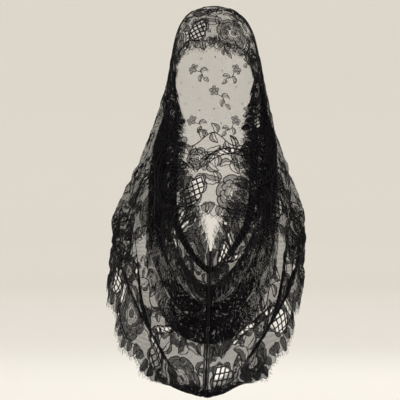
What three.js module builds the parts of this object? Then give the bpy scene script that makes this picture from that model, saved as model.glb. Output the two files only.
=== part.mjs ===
// A lace mantilla veil of the closed, loop kind, in the form in which it hangs.
// One length of lace goes round in a loop. A single seam at the front middle joins its two ends.
// One long edge is the face edge, which falls to a V at the front. The other long edge is the hem.
// The front lies in leaning folds that run down from both sides of the hood and swag across the front.
// Units are millimetres, +Z is up, -Y is the front, and the origin is on the inside of the crown.
import * as THREE from "three";

// The hood, measured from the crown
const headHalfWidth = 77;
const headHalfDepth = 96;
// The face edge and its V
const veeDrop = 462;
const chestFore = 118;
// The cape, widest where the folds leave the sides
const shoulderHalfWidth = 190;
const shoulderDrop = 372;
const backAft = 126;
// The hem
const hemHalfWidth = 201;
const hemFrontDrop = 751;
const hemBackDrop = 418;
const hemFore = 148;
// How far the lowest point stands to one side, as the veil hangs turned a little
const lean = -18;
// The cloth
const clothWidth = 620;
const wall = 1.2;
const scallopDepth = 15;
const repeats = 8;
const eyelet = 9;
// The seam that joins the two ends
const seamWidth = 5;
const seamThickness = 2;
const seamGap = 0.35;
// How far a fold of the front stands up
const foldDepth = 20;
// Folds that hang in the back of the cape
const backFoldDepth = 16;
const backFolds = 2;

// Guide lines of the veil, each a closed line round the loop, from the face edge to the hem.
// at: its place across the cloth, 0 at the face edge and 1 at the hem.
// Each row is a station, from the back middle round to the front middle.
// left and right are how far out it stands on each side. fore is to the front, and down is below the crown.
// sag is how much lower the right side hangs. All are shares of the guide's own sizes.
const stations = 8;
const guides = [
  {
    name: "face edge", at: 0, half: headHalfWidth, depth: chestFore, drop: veeDrop,
    rows: [
      { left: 0.0, right: 0.0, fore: 0.77, down: 0.205 },
      { left: 0.6, right: 0.62, fore: 0.66, down: 0.21, sag: 0.01 },
      { left: 0.94, right: 0.97, fore: 0.38, down: 0.25, sag: 0.05 },
      { left: 0.89, right: 0.92, fore: 0.18, down: 0.37, sag: 0.01 },
      { left: 0.66, right: 0.65, fore: 0.19, down: 0.51 },
      { left: 0.55, right: 0.62, fore: 0.42, down: 0.645 },
      { left: 0.37, right: 0.41, fore: 0.8, down: 0.815 },
      { left: 0.2, right: 0.16, fore: 0.95, down: 0.92 },
      { left: 0.0, right: 0.0, fore: 1.0, down: 1.0 },
    ],
  },
  {
    name: "brow", at: 0.13, half: headHalfWidth, depth: chestFore, drop: veeDrop,
    rows: [
      { left: 0.0, right: 0.0, fore: 0.47, down: 0.05 },
      { left: 0.52, right: 0.52, fore: 0.42, down: 0.075 },
      { left: 0.9, right: 0.93, fore: 0.19, down: 0.13 },
      { left: 1.02, right: 1.12, fore: 0.06, down: 0.315 },
      { left: 0.88, right: 0.94, fore: 0.16, down: 0.5 },
      { left: 0.83, right: 0.88, fore: 0.42, down: 0.65 },
      { left: 0.8, right: 0.83, fore: 0.84, down: 0.85 },
      { left: 0.5, right: 0.5, fore: 1.02, down: 0.985 },
      { left: 0.0, right: 0.0, fore: 1.07, down: 1.075 },
    ],
  },
  {
    name: "crown", at: 0.28, half: headHalfWidth, depth: headHalfDepth, drop: shoulderDrop,
    rows: [
      { left: 0.0, right: 0.0, fore: -0.29, down: 0.006 },
      { left: 0.62, right: 0.62, fore: -0.29, down: 0.035 },
      { left: 0.97, right: 1.03, fore: -0.19, down: 0.16 },
      { left: 1.1, right: 1.2, fore: -0.17, down: 0.39 },
      { left: 1.07, right: 1.18, fore: 0.14, down: 0.63 },
      { left: 1.04, right: 1.12, fore: 0.6, down: 0.86 },
      { left: 1.02, right: 1.06, fore: 1.18, down: 1.14 },
      { left: 0.58, right: 0.6, fore: 1.36, down: 1.335 },
      { left: 0.0, right: 0.0, fore: 1.42, down: 1.44 },
    ],
  },
  {
    name: "shoulder", at: 0.5, half: shoulderHalfWidth, depth: backAft, drop: shoulderDrop,
    rows: [
      { left: 0.0, right: 0.0, fore: -0.79, down: 0.28 },
      { left: 0.3, right: 0.31, fore: -0.73, down: 0.295 },
      { left: 0.46, right: 0.5, fore: -0.52, down: 0.36 },
      { left: 0.525, right: 0.57, fore: -0.26, down: 0.54 },
      { left: 0.5, right: 0.55, fore: 0.0, down: 0.705 },
      { left: 0.51, right: 0.54, fore: 0.4, down: 0.945 },
      { left: 0.5, right: 0.52, fore: 0.905, down: 1.29 },
      { left: 0.31, right: 0.31, fore: 1.1, down: 1.5 },
      { left: 0.0, right: 0.0, fore: 1.17, down: 1.585 },
    ],
  },
  {
    name: "pleats", at: 0.64, half: shoulderHalfWidth, depth: backAft, drop: shoulderDrop,
    rows: [
      { left: 0.0, right: 0.0, fore: -0.825, down: 0.52 },
      { left: 0.33, right: 0.33, fore: -0.825, down: 0.527 },
      { left: 0.57, right: 0.57, fore: -0.635, down: 0.56 },
      { left: 0.63, right: 0.66, fore: -0.33, down: 0.672 },
      { left: 0.61, right: 0.64, fore: -0.02, down: 0.82 },
      { left: 0.61, right: 0.63, fore: 0.4, down: 1.06 },
      { left: 0.56, right: 0.58, fore: 0.905, down: 1.43 },
      { left: 0.4, right: 0.4, fore: 1.11, down: 1.61 },
      { left: 0.0, right: 0.0, fore: 1.175, down: 1.67 },
    ],
  },
  {
    name: "cape", at: 0.78, half: shoulderHalfWidth, depth: backAft, drop: hemFrontDrop,
    rows: [
      { left: 0.0, right: 0.0, fore: -0.85, down: 0.375 },
      { left: 0.375, right: 0.375, fore: -0.86, down: 0.378 },
      { left: 0.68, right: 0.68, fore: -0.68, down: 0.394 },
      { left: 0.895, right: 0.88, fore: -0.365, down: 0.469 },
      { left: 0.97, right: 0.93, fore: -0.03, down: 0.522 },
      { left: 0.93, right: 0.92, fore: 0.5, down: 0.635 },
      { left: 0.67, right: 0.69, fore: 0.96, down: 0.79 },
      { left: 0.39, right: 0.39, fore: 1.13, down: 0.88 },
      { left: 0.0, right: 0.0, fore: 1.175, down: 0.92 },
    ],
  },
  {
    name: "turn of the hem", at: 0.9, half: hemHalfWidth, depth: hemFore, drop: hemFrontDrop,
    rows: [
      { left: 0.0, right: 0.0, fore: -0.82, down: 0.474 },
      { left: 0.38, right: 0.38, fore: -0.81, down: 0.482 },
      { left: 0.675, right: 0.675, fore: -0.64, down: 0.511 },
      { left: 0.875, right: 0.865, fore: -0.31, down: 0.585 },
      { left: 0.965, right: 0.91, fore: 0.03, down: 0.645 },
      { left: 0.83, right: 0.8, fore: 0.55, down: 0.705 },
      { left: 0.6, right: 0.59, fore: 0.84, down: 0.82 },
      { left: 0.36, right: 0.36, fore: 0.97, down: 0.945 },
      { left: 0.0, right: 0.0, fore: 1.0, down: 1.0 },
    ],
  },
  {
    name: "hem", at: 1, half: hemHalfWidth, depth: hemFore, drop: hemFrontDrop, back: hemBackDrop,
    rows: [
      { left: 0.0, right: 0.0, fore: -0.86, down: 0.0 },
      { left: 0.39, right: 0.39, fore: -0.84, down: 0.03 },
      { left: 0.69, right: 0.69, fore: -0.65, down: 0.12 },
      { left: 0.9, right: 0.88, fore: -0.3, down: 0.27 },
      { left: 1.0, right: 0.91, fore: 0.1, down: 0.41 },
      { left: 0.94, right: 0.86, fore: 0.4, down: 0.56 },
      { left: 0.78, right: 0.76, fore: 0.56, down: 0.78 },
      { left: 0.52, right: 0.48, fore: 0.72, down: 0.925 },
      { left: 0.0, right: 0.0, fore: 0.76, down: 0.925 },
    ],
  },
];

// Folds that run round the loop and lean over like knife pleats.
// side and front are where a fold lies across the cloth, at the side and at the front middle.
// depth and frontDepth are how far it stands up there, as shares of foldDepth.
// lean is how far the crest falls towards the hem for each millimetre that it stands up.
// from is the station where a fold begins, full where it has its whole depth.
const folds = [
  { name: "lapel", side: [0.05, 0.16], front: [0.05, 0.17], depth: 0.7, frontDepth: 0.65, lean: 1.9, from: 3.2, full: 4.8 },
  { name: "collar", side: [0.16, 0.29], front: [0.17, 0.31], depth: 1, frontDepth: 1.15, lean: 2.3, from: 2.95, full: 4.8 },
  { name: "breast", side: [0.29, 0.42], front: [0.31, 0.45], depth: 1, frontDepth: 1.15, lean: 2.3, from: 3.0, full: 5.0 },
  { name: "swag", side: [0.42, 0.55], front: [0.45, 0.59], depth: 0.95, frontDepth: 1.25, lean: 2.0, from: 3.3, full: 5.2 },
  { name: "girdle", side: [0.6, 0.73], front: [0.76, 0.9], depth: 0.75, frontDepth: 0.35, lean: 2.0, from: 3.7, full: 5.4 },
];
// The shape of a fold across its width: it falls back a little before its end, and rises a little early.
const fallsBackBy = 0.92;
const riseWarp = 0.86;
// How much more the folds lean where they swag across the front
const swagLean = 1.2;
// Stations between which the folds drift from their side places to their front places
const frontBegins = 5.4;
const frontReached = 8;
// Rows of the mesh across the cloth, at the side and at the front middle. They follow the folds.
const foldShares = [0, 0.13, 0.27, 0.39, 0.56, 0.72, 0.87];
const foldRows = (fold) => foldShares.map((share) => rowAt(fold, share));
const acrossRows = [
  { side: 0, front: 0 },
  { side: 0.024, front: 0.024 },
  ...folds.slice(0, 4).flatMap(foldRows),
  { side: 0.55, front: 0.59 },
  { side: 0.575, front: 0.67 },
  ...foldRows(folds[4]),
  { side: 0.73, front: 0.9 },
  { side: 0.81, front: 0.93 },
  { side: 0.89, front: 0.96 },
  { side: 0.955, front: 0.982 },
  { side: 1, front: 1 },
];
// Columns of the mesh in one repeat of the scallops
const repeatColumns = [0, 0.12, 0.28, 0.4, 0.52, 0.7, 0.88];

function rowAt(fold, share) {
  const at = ([from, to]) => from + (to - from) * share;
  return { side: at(fold.side), front: at(fold.front) };
}

const smooth = (from, to, x) => {
  const k = Math.min(1, Math.max(0, (x - from) / (to - from)));
  return k * k * (3 - 2 * k);
};
const bump = (x) => (Math.abs(x) < 1 ? Math.cos((x * Math.PI) / 2) ** 2 : 0);

// A cubic through values at uneven places, with the slopes of its neighbours.
function curveAt(places, values, x) {
  let i = 0;
  while (i < places.length - 2 && x > places[i + 1]) i++;
  const span = places[i + 1] - places[i];
  const k = (x - places[i]) / span;
  const slope = (j) => {
    const a = Math.max(0, j - 1);
    const b = Math.min(places.length - 1, j + 1);
    return (values[b] - values[a]) / (places[b] - places[a]);
  };
  const k2 = k * k;
  const k3 = k2 * k;
  return (
    (2 * k3 - 3 * k2 + 1) * values[i] +
    (k3 - 2 * k2 + k) * span * slope(i) +
    (3 * k2 - 2 * k3) * values[i + 1] +
    (k3 - k2) * span * slope(i + 1)
  );
}

// One row of a guide in millimetres. turn goes on past the front middle, up the other side.
function guideRow(guide, turn) {
  const wrapped = ((turn % lap) + lap) % lap;
  const other = wrapped > stations;
  const row = guide.rows[other ? lap - wrapped : wrapped];
  const top = guide.back ?? 0;
  return {
    x: (other ? row.right : -row.left) * guide.half,
    y: -row.fore * guide.depth,
    z: -(top + (row.down + (other ? row.sag ?? 0 : 0)) * (guide.drop - top)),
  };
}

// A point of a guide line. The stations are evenly spaced round the loop.
function guidePoint(guide, turn) {
  const first = Math.floor(turn) - 1;
  const places = [0, 1, 2, 3].map((i) => first + i);
  const rows = places.map((place) => guideRow(guide, place));
  return ["x", "y", "z"].map((axis) => curveAt(places, rows.map((row) => row[axis]), turn));
}

// The smooth form, before any fold.
function form(turn, across) {
  const places = guides.map((guide) => guide.at);
  const points = guides.map((guide) => guidePoint(guide, turn));
  const [x, y, z] = [0, 1, 2].map((axis) => curveAt(places, points.map((point) => point[axis]), across));
  return new THREE.Vector3(x + lean * (z / hemFrontDrop) ** 2, y, z);
}

// The directions towards the hem and outward, taken over a wide piece of the form so that folds stay parallel.
const wideAlong = 0.3;
const wideAcross = 0.14;
function foldFrame(turn, across) {
  const along = form(turn + wideAlong, across).sub(form(turn - wideAlong, across));
  const over = form(turn, Math.min(1, across + wideAcross)).sub(form(turn, Math.max(0, across - wideAcross)));
  over.normalize();
  return { over, normal: over.clone().cross(along).normalize() };
}

// The station of a place round the loop, the same on both sides, and how near the front middle it is.
const lap = 2 * stations;
const stationOf = (turn) => Math.abs(stations - ((((stations - turn) % lap) + lap) % lap));
const frontness = (turn) => smooth(frontBegins, frontReached, stationOf(turn));
const mix = (a, b, k) => a + (b - a) * k;

// The folded cloth: each fold stands up from the form and leans over towards the hem.
function cloth(turn, across) {
  const station = stationOf(turn);
  const front = frontness(turn);
  const point = form(turn, across);
  const { over, normal } = foldFrame(turn, across);
  for (const fold of folds) {
    const [from, to] = [0, 1].map((end) => mix(fold.side[end], fold.front[end], front));
    const share = Math.min(1, Math.max(0, (across - from) / (to - from)));
    const begun = smooth(fold.from, fold.full, station);
    const depth = foldDepth * mix(fold.depth, fold.frontDepth, front) * begun;
    point.addScaledVector(normal, depth * bump(2 * share ** riseWarp - 1));
    const lean = fold.lean * mix(1, swagLean, smooth(4.8, 6.5, station));
    point.addScaledVector(over, depth * lean * bump((2 * share) / fallsBackBy - 1));
  }
  const hang = smooth(0.5, 1, across) * (1 - smooth(3.5, 5.5, station));
  const wave = 0.5 - 0.5 * Math.cos((station / 4) * backFolds * 2 * Math.PI);
  return point.addScaledVector(normal, -backFoldDepth * hang * wave);
}

// How deep the edge is cut in at a place along the loop: one small lobe and one broad one in each repeat.
const broad = { from: 0.4, to: 1 };
const lobes = [{ from: 0, to: broad.from }, broad];
function notch(turn) {
  const place = (((turn / (2 * stations)) * repeats) % 1 + 1) % 1;
  const lobe = lobes.find((one) => place < one.to);
  const share = (place - lobe.from) / (lobe.to - lobe.from);
  const size = (lobe.to - lobe.from) / (broad.to - broad.from);
  return scallopDepth * (1 - size * Math.sin(share * Math.PI) ** 0.8);
}

// The place across the cloth of a row, drawn in from each edge where the scallops are cut.
// Near the V the face edge is turned under a little, so its scallops show less.
const edgeReach = 8;
const lapelFlat = 0.75;
function scalloped(turn, row) {
  const cut = notch(turn) / clothWidth;
  const faceCut = cut * (1 - lapelFlat * smooth(5, 6.4, stationOf(turn)));
  const across = mix(row.side, row.front, frontness(turn));
  return across + faceCut * (1 - across) ** edgeReach - cut * across ** edgeReach;
}

// One grid of points for a strip of cloth. Each column is {turn, shift}: shift moves it sideways.
function stripPoints(columns, rows) {
  return columns.map(({ turn, shift }) =>
    rows.map((row) => {
      const point = cloth(turn, scalloped(turn, row));
      point.x += shift;
      return point;
    }),
  );
}

// The outward direction at each point of a grid: the mean of the cells that meet there.
function gridNormals(grid) {
  const between = (a, b) => new THREE.Vector3().subVectors(b, a);
  const cell = (i, j) => {
    if (!grid[i]?.[j] || !grid[i + 1]?.[j + 1]) return new THREE.Vector3();
    const rising = between(grid[i][j], grid[i + 1][j + 1]);
    return between(grid[i + 1][j], grid[i][j + 1]).cross(rising).normalize();
  };
  return grid.map((column, i) =>
    column.map((_, j) => cell(i, j).add(cell(i - 1, j)).add(cell(i, j - 1)).add(cell(i - 1, j - 1)).normalize()),
  );
}

// A closed wall of that thickness round a grid of points, with an eyelet in each cell that pierced() names.
function wallMesh(grid, thickness, pierced, name, material) {
  const positions = [];
  const faces = [];
  const add = (point) => positions.push(point.x, point.y, point.z) / 3 - 1;
  const normals = gridNormals(grid);
  const sides = [0.5, -0.5].map((side) =>
    grid.map((column, i) =>
      column.map((point, j) => add(point.clone().addScaledVector(normals[i][j], side * thickness))),
    ),
  );
  const vertex = (index) => new THREE.Vector3().fromArray(positions, index * 3);
  const quad = (a, b, c, d, outer) => {
    const turned = vertex(a).distanceTo(vertex(c)) > vertex(b).distanceTo(vertex(d));
    const made = turned ? [[a, b, d], [b, c, d]] : [[a, b, c], [a, c, d]];
    made.forEach((face) => faces.push(...(outer ? face : face.reverse())));
  };
  // The four corners of a diamond hole, one near the middle of each side of the cell.
  const ring = (corners) => {
    const points = corners.map(vertex);
    const middle = points.reduce((sum, point) => sum.add(point), new THREE.Vector3()).divideScalar(4);
    return points.map((point, i) => {
      const edge = point.clone().add(points[(i + 1) % 4]).divideScalar(2);
      const reach = Math.min(eyelet / 2, 0.6 * edge.distanceTo(middle));
      return add(middle.clone().add(edge.sub(middle).setLength(reach)));
    });
  };
  for (let i = 0; i < grid.length - 1; i++)
    for (let j = 0; j < grid[0].length - 1; j++) {
      const cells = sides.map((side) => [side[i][j], side[i + 1][j], side[i + 1][j + 1], side[i][j + 1]]);
      if (!pierced(i, j)) {
        quad(...cells[0], false);
        quad(...cells[1], true);
        continue;
      }
      const rings = cells.map(ring);
      for (let k = 0; k < 4; k++) {
        const next = (k + 1) % 4;
        const [outerCell, innerCell] = cells;
        const [outerRing, innerRing] = rings;
        faces.push(outerCell[next], outerCell[k], outerRing[k], outerCell[next], outerRing[k], outerRing[next]);
        faces.push(innerCell[k], innerCell[next], innerRing[k], innerRing[k], innerCell[next], innerRing[next]);
        quad(outerRing[k], innerRing[k], innerRing[next], outerRing[next], true);
      }
    }
  const rim = (pairs) => {
    for (let i = 0; i < pairs.length - 1; i++)
      quad(pairs[i][0], pairs[i + 1][0], pairs[i + 1][1], pairs[i][1], true);
  };
  const last = grid.length - 1;
  const end = grid[0].length - 1;
  const pair = (i, j) => [sides[0][i][j], sides[1][i][j]];
  rim(grid.map((_, i) => pair(i, 0)));
  rim(grid.map((_, i) => pair(i, end)).reverse());
  rim(grid[0].map((_, j) => pair(last, j)));
  rim(grid[0].map((_, j) => pair(0, j)).reverse());
  const geometry = new THREE.BufferGeometry();
  geometry.setAttribute("position", new THREE.Float32BufferAttribute(positions, 3));
  geometry.setIndex(faces);
  geometry.computeVertexNormals();
  const mesh = new THREE.Mesh(geometry, material);
  mesh.name = name;
  return mesh;
}

const lace = new THREE.MeshStandardMaterial({ color: 0x17161b, roughness: 0.85, metalness: 0 });
const thread = new THREE.MeshStandardMaterial({ color: 0x0e0d11, roughness: 0.8, metalness: 0 });

// The lace goes once round, from one side of the seam to the other. Its end columns stand square to the seam.
function lacePanel() {
  const clear = seamWidth / 2 + seamGap;
  const places = Array.from({ length: repeats }, (_, r) => repeatColumns.map((share) => (r + share) / repeats)).flat();
  const columns = [...places, 1].map((place) => ({ turn: stations + lap * place, shift: 0 }));
  const count = columns.length - 1;
  columns[0] = { turn: stations, shift: clear };
  columns[count] = { turn: stations, shift: -clear };
  const lastCell = acrossRows.length - 2;
  const pierced = (i, j) => {
    const inBroad = repeatColumns[i % repeatColumns.length] >= broad.from;
    return (j === 1 || j === lastCell - 1) && inBroad && i > 1 && i < count - 2;
  };
  return wallMesh(stripPoints(columns, acrossRows), wall, pierced, "lace_panel", lace);
}

// The two ends are sewn into one narrow raised seam.
function frontSeam() {
  const half = seamWidth / 2;
  const columns = [-half, half].map((shift) => ({ turn: stations, shift }));
  return wallMesh(stripPoints(columns, acrossRows), seamThickness, () => false, "front_seam", thread);
}

const veil = new THREE.Group();
veil.add(lacePanel(), frontSeam());
export default veil;
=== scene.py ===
# %% [markdown]
# # A black lace mantilla veil
# A mantilla of the closed kind is one length of galloon lace, which has a scalloped border along both
# of its long edges. Its two ends are sewn together, so it makes a loop. One border is the face edge,
# which falls to a V at the front, and the other border is the hem.
# The lace is drawn flat first, as a lace designer draws it, and the flat drawing is then laid on the
# hanging form. That way the net, the flowers and the edges all follow the same folds.

# %% Load the frame
import math

import bpy
import numpy as np
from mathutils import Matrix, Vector


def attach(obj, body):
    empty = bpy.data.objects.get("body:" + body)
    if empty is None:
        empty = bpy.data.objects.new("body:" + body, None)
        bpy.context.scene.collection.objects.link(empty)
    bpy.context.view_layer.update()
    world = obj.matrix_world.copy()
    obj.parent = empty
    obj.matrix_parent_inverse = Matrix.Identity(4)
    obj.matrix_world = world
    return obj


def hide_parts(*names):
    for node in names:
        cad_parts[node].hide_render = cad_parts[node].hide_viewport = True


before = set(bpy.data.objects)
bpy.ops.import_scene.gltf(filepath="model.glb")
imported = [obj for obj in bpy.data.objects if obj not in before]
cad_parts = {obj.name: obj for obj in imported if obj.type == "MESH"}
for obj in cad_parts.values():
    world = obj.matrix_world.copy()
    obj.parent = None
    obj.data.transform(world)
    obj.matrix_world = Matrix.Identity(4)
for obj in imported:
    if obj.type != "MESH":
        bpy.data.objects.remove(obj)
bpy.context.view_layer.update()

MM = 0.001

# %% [markdown]
# ## The camera
# The veil is seen from straight ahead, at its own middle height. A long lens from six metres keeps
# near and far parts of the cloth in the same proportion.

# %% Place the camera
PICTURE_WIDTH = 0.78
VIEW_CENTRE = (-0.0273, 0.0, -0.3764)
CAMERA_AWAY = 6.0

lens_data = bpy.data.cameras.new("camera")
lens_data.sensor_width = 36.0
lens_data.lens = 36.0 * CAMERA_AWAY / PICTURE_WIDTH
camera = bpy.data.objects.new("camera", lens_data)
camera.location = (VIEW_CENTRE[0], -CAMERA_AWAY, VIEW_CENTRE[2])
camera.rotation_euler = (math.radians(90), 0, 0)
bpy.context.scene.collection.objects.link(camera)
bpy.context.scene.camera = camera
print("lens", round(lens_data.lens), "mm")

# %% [markdown]
# ## Colours and nodes
# Colours are written as the hex codes that a painter would pick on a screen. Shaders want linear
# light, so one function turns the one into the other. Another adds a node with its settings.

# %% Colour and node helpers
def linear(code):
    """An sRGB hex code as linear red, green, blue and alpha."""
    parts = [int(code[i:i + 2], 16) / 255 for i in (1, 3, 5)]
    return tuple(c / 12.92 if c <= 0.04045 else ((c + 0.055) / 1.055) ** 2.4 for c in parts) + (1.0,)


def node(tree, kind, settings=None, links=None):
    """Adds a node, sets its properties, and sets or links its inputs. A node links by its first output."""
    made = tree.nodes.new(kind)
    for name, value in (settings or {}).items():
        setattr(made, name, value)
    for name, value in (links or {}).items():
        if isinstance(value, bpy.types.Node):
            value = value.outputs[0]
        if isinstance(value, bpy.types.NodeSocket):
            tree.links.new(value, made.inputs[name])
        else:
            made.inputs[name].default_value = value
    return made


def new_material(name):
    """A material with a principled shader, and that shader."""
    made = bpy.data.materials.new(name)
    made.use_nodes = True
    return made, made.node_tree, made.node_tree.nodes["Principled BSDF"]


print("silk black in linear light:", [round(part, 4) for part in linear("#0C0A0E")])

# %% [markdown]
# ## A pale studio
# Black lace shows best on something pale. The floor is a wide matt disc whose rim turns up into a
# wall all round, so there is no horizon line behind the lace from any side.

# %% Build the studio
FLOOR_BELOW = -0.86
STUDIO_RADIUS = 11.0

bpy.ops.object.select_all(action="DESELECT")
bpy.ops.mesh.primitive_circle_add(vertices=96, radius=STUDIO_RADIUS, fill_type="NGON",
                                  location=(0, 0, FLOOR_BELOW))
studio = bpy.context.active_object
studio.name = "studio"
bpy.ops.object.mode_set(mode="EDIT")
bpy.ops.mesh.select_all(action="SELECT")
for rise, grow in ((0.25, 1.06), (0.8, 1.05), (1.6, 1.03), (3.5, 1.01)):
    bpy.ops.mesh.extrude_region_move(TRANSFORM_OT_translate={"value": (0, 0, rise)})
    bpy.ops.transform.resize(value=(grow, grow, 1))
bpy.ops.mesh.delete(type="ONLY_FACE")
bpy.ops.object.mode_set(mode="OBJECT")
bpy.ops.object.shade_smooth()

paper, _, paper_shader = new_material("matt_backdrop_paper")
paper_shader.inputs["Base Color"].default_value = linear("#EAE7E1")
paper_shader.inputs["Roughness"].default_value = 0.95
studio.data.materials.append(paper)

world = bpy.data.worlds.new("studio_sky")
bpy.context.scene.world = world
world.use_nodes = True
world.node_tree.nodes["Background"].inputs[0].default_value = linear("#F4F2EE")
world.node_tree.nodes["Background"].inputs[1].default_value = 1.12


def soft_light(name, place, aim, size, watts):
    """A square area light that looks at a point."""
    data = bpy.data.lights.new(name, "AREA")
    data.size = size
    data.energy = watts
    made = bpy.data.objects.new(name, data)
    made.location = place
    made.rotation_euler = (Vector(aim) - Vector(place)).to_track_quat("-Z", "Y").to_euler()
    bpy.context.scene.collection.objects.link(made)
    return made


soft_light("key", (-2.0, -3.0, 1.6), (0, 0, -0.35), 1.6, 22)
soft_light("fill", (2.6, -2.2, 0.2), (0, 0, -0.35), 1.8, 12)
soft_light("rim", (0.6, 2.6, 1.6), (0, 0, -0.3), 1.4, 16)
print("studio ready")

# %% [markdown]
# ## How the veil hangs
# The form is a family of closed lines that run round the loop, from the face edge to the hem. Each
# line is a short table of stations, from the back middle to the front middle, as shares of its sizes.
# Cubic curves join them both ways. The tables are those of the solid model, so both agree.

# %% Sizes and guide lines, in millimetres
HEAD_HALF_WIDTH = 77
HEAD_HALF_DEPTH = 96
VEE_DROP = 462
CHEST_FORE = 118
SHOULDER_HALF_WIDTH = 190
SHOULDER_DROP = 372
BACK_AFT = 126
HEM_HALF_WIDTH = 201
HEM_FRONT_DROP = 751
HEM_BACK_DROP = 418
HEM_FORE = 148
LEAN = -18
STATIONS = 8
LAP = 2 * STATIONS

# Each guide: place across the cloth, half width, depth, drop, height where its drop starts.
# Its columns: how far out on the left and on the right, how far to the front, how far down, and how
# much lower the right side hangs.
GUIDES = [
    (0, HEAD_HALF_WIDTH, CHEST_FORE, VEE_DROP, 0, [
        (0.0, 0.0, 0.77, 0.205, 0), (0.6, 0.62, 0.66, 0.21, 0.01), (0.94, 0.97, 0.38, 0.25, 0.05),
        (0.89, 0.92, 0.18, 0.37, 0.01), (0.66, 0.65, 0.19, 0.51, 0), (0.55, 0.62, 0.42, 0.645, 0),
        (0.37, 0.41, 0.8, 0.815, 0), (0.2, 0.16, 0.95, 0.92, 0), (0.0, 0.0, 1.0, 1.0, 0)]),
    (0.13, HEAD_HALF_WIDTH, CHEST_FORE, VEE_DROP, 0, [
        (0.0, 0.0, 0.47, 0.05, 0), (0.52, 0.52, 0.42, 0.075, 0), (0.9, 0.93, 0.19, 0.13, 0),
        (1.02, 1.12, 0.06, 0.315, 0), (0.88, 0.94, 0.16, 0.5, 0), (0.83, 0.88, 0.42, 0.65, 0),
        (0.8, 0.83, 0.84, 0.85, 0), (0.5, 0.5, 1.02, 0.985, 0), (0.0, 0.0, 1.07, 1.075, 0)]),
    (0.28, HEAD_HALF_WIDTH, HEAD_HALF_DEPTH, SHOULDER_DROP, 0, [
        (0.0, 0.0, -0.29, 0.006, 0), (0.62, 0.62, -0.29, 0.035, 0), (0.97, 1.03, -0.19, 0.16, 0),
        (1.1, 1.2, -0.17, 0.39, 0), (1.07, 1.18, 0.14, 0.63, 0), (1.04, 1.12, 0.6, 0.86, 0),
        (1.02, 1.06, 1.18, 1.14, 0), (0.58, 0.6, 1.36, 1.335, 0), (0.0, 0.0, 1.42, 1.44, 0)]),
    (0.5, SHOULDER_HALF_WIDTH, BACK_AFT, SHOULDER_DROP, 0, [
        (0.0, 0.0, -0.79, 0.28, 0), (0.3, 0.31, -0.73, 0.295, 0), (0.46, 0.5, -0.52, 0.36, 0),
        (0.525, 0.57, -0.26, 0.54, 0), (0.5, 0.55, 0.0, 0.705, 0), (0.51, 0.54, 0.4, 0.945, 0),
        (0.5, 0.52, 0.905, 1.29, 0), (0.31, 0.31, 1.1, 1.5, 0), (0.0, 0.0, 1.17, 1.585, 0)]),
    (0.64, SHOULDER_HALF_WIDTH, BACK_AFT, SHOULDER_DROP, 0, [
        (0.0, 0.0, -0.825, 0.52, 0), (0.33, 0.33, -0.825, 0.527, 0), (0.57, 0.57, -0.635, 0.56, 0),
        (0.63, 0.66, -0.33, 0.672, 0), (0.61, 0.64, -0.02, 0.82, 0), (0.61, 0.63, 0.4, 1.06, 0),
        (0.56, 0.58, 0.905, 1.43, 0), (0.4, 0.4, 1.11, 1.61, 0), (0.0, 0.0, 1.175, 1.67, 0)]),
    (0.78, SHOULDER_HALF_WIDTH, BACK_AFT, HEM_FRONT_DROP, 0, [
        (0.0, 0.0, -0.85, 0.375, 0), (0.375, 0.375, -0.86, 0.378, 0), (0.68, 0.68, -0.68, 0.394, 0),
        (0.895, 0.88, -0.365, 0.469, 0), (0.97, 0.93, -0.03, 0.522, 0), (0.93, 0.92, 0.5, 0.635, 0),
        (0.67, 0.69, 0.96, 0.79, 0), (0.39, 0.39, 1.13, 0.88, 0), (0.0, 0.0, 1.175, 0.92, 0)]),
    (0.9, HEM_HALF_WIDTH, HEM_FORE, HEM_FRONT_DROP, 0, [
        (0.0, 0.0, -0.82, 0.474, 0), (0.38, 0.38, -0.81, 0.482, 0), (0.675, 0.675, -0.64, 0.511, 0),
        (0.875, 0.865, -0.31, 0.585, 0), (0.965, 0.91, 0.03, 0.645, 0), (0.83, 0.8, 0.55, 0.705, 0),
        (0.6, 0.59, 0.84, 0.82, 0), (0.36, 0.36, 0.97, 0.945, 0), (0.0, 0.0, 1.0, 1.0, 0)]),
    (1, HEM_HALF_WIDTH, HEM_FORE, HEM_FRONT_DROP, HEM_BACK_DROP, [
        (0.0, 0.0, -0.86, 0.0, 0), (0.39, 0.39, -0.84, 0.03, 0), (0.69, 0.69, -0.65, 0.12, 0),
        (0.9, 0.88, -0.3, 0.27, 0), (1.0, 0.91, 0.1, 0.41, 0), (0.94, 0.86, 0.4, 0.56, 0),
        (0.78, 0.76, 0.56, 0.78, 0), (0.52, 0.48, 0.72, 0.925, 0), (0.0, 0.0, 0.76, 0.925, 0)]),
]

# Each fold: where it lies across the cloth at the side and at the front middle, how far it stands up
# there as shares of FOLD_DEPTH, how far it leans for that, and the stations where it begins and is full.
FOLD_DEPTH = 20
FOLDS = [
    ((0.05, 0.16), (0.05, 0.17), 0.7, 0.65, 1.9, 3.2, 4.8),
    ((0.16, 0.29), (0.17, 0.31), 1, 1.15, 2.3, 2.95, 4.8),
    ((0.29, 0.42), (0.31, 0.45), 1, 1.15, 2.3, 3.0, 5.0),
    ((0.42, 0.55), (0.45, 0.59), 0.95, 1.25, 2.0, 3.3, 5.2),
    ((0.6, 0.73), (0.76, 0.9), 0.75, 0.35, 2.0, 3.7, 5.4),
]
FALLS_BACK_BY = 0.92
RISE_WARP = 0.86
SWAG_LEAN = 1.2
FRONT_BEGINS = 5.4
WIDE_ALONG = 0.3
WIDE_ACROSS = 0.14
BACK_FOLD_DEPTH = 16
BACK_FOLDS = 2
print(len(GUIDES), "guide lines,", len(FOLDS), "folds")

# %% [markdown]
# The place on the cloth has two numbers: turn, which counts stations round the loop, and across,
# which is 0 at the face edge and 1 at the hem. NumPy works out a whole grid of places at once.
# A few small functions are needed first: soft steps and hills, a cubic, and vectors at length 1.

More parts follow.
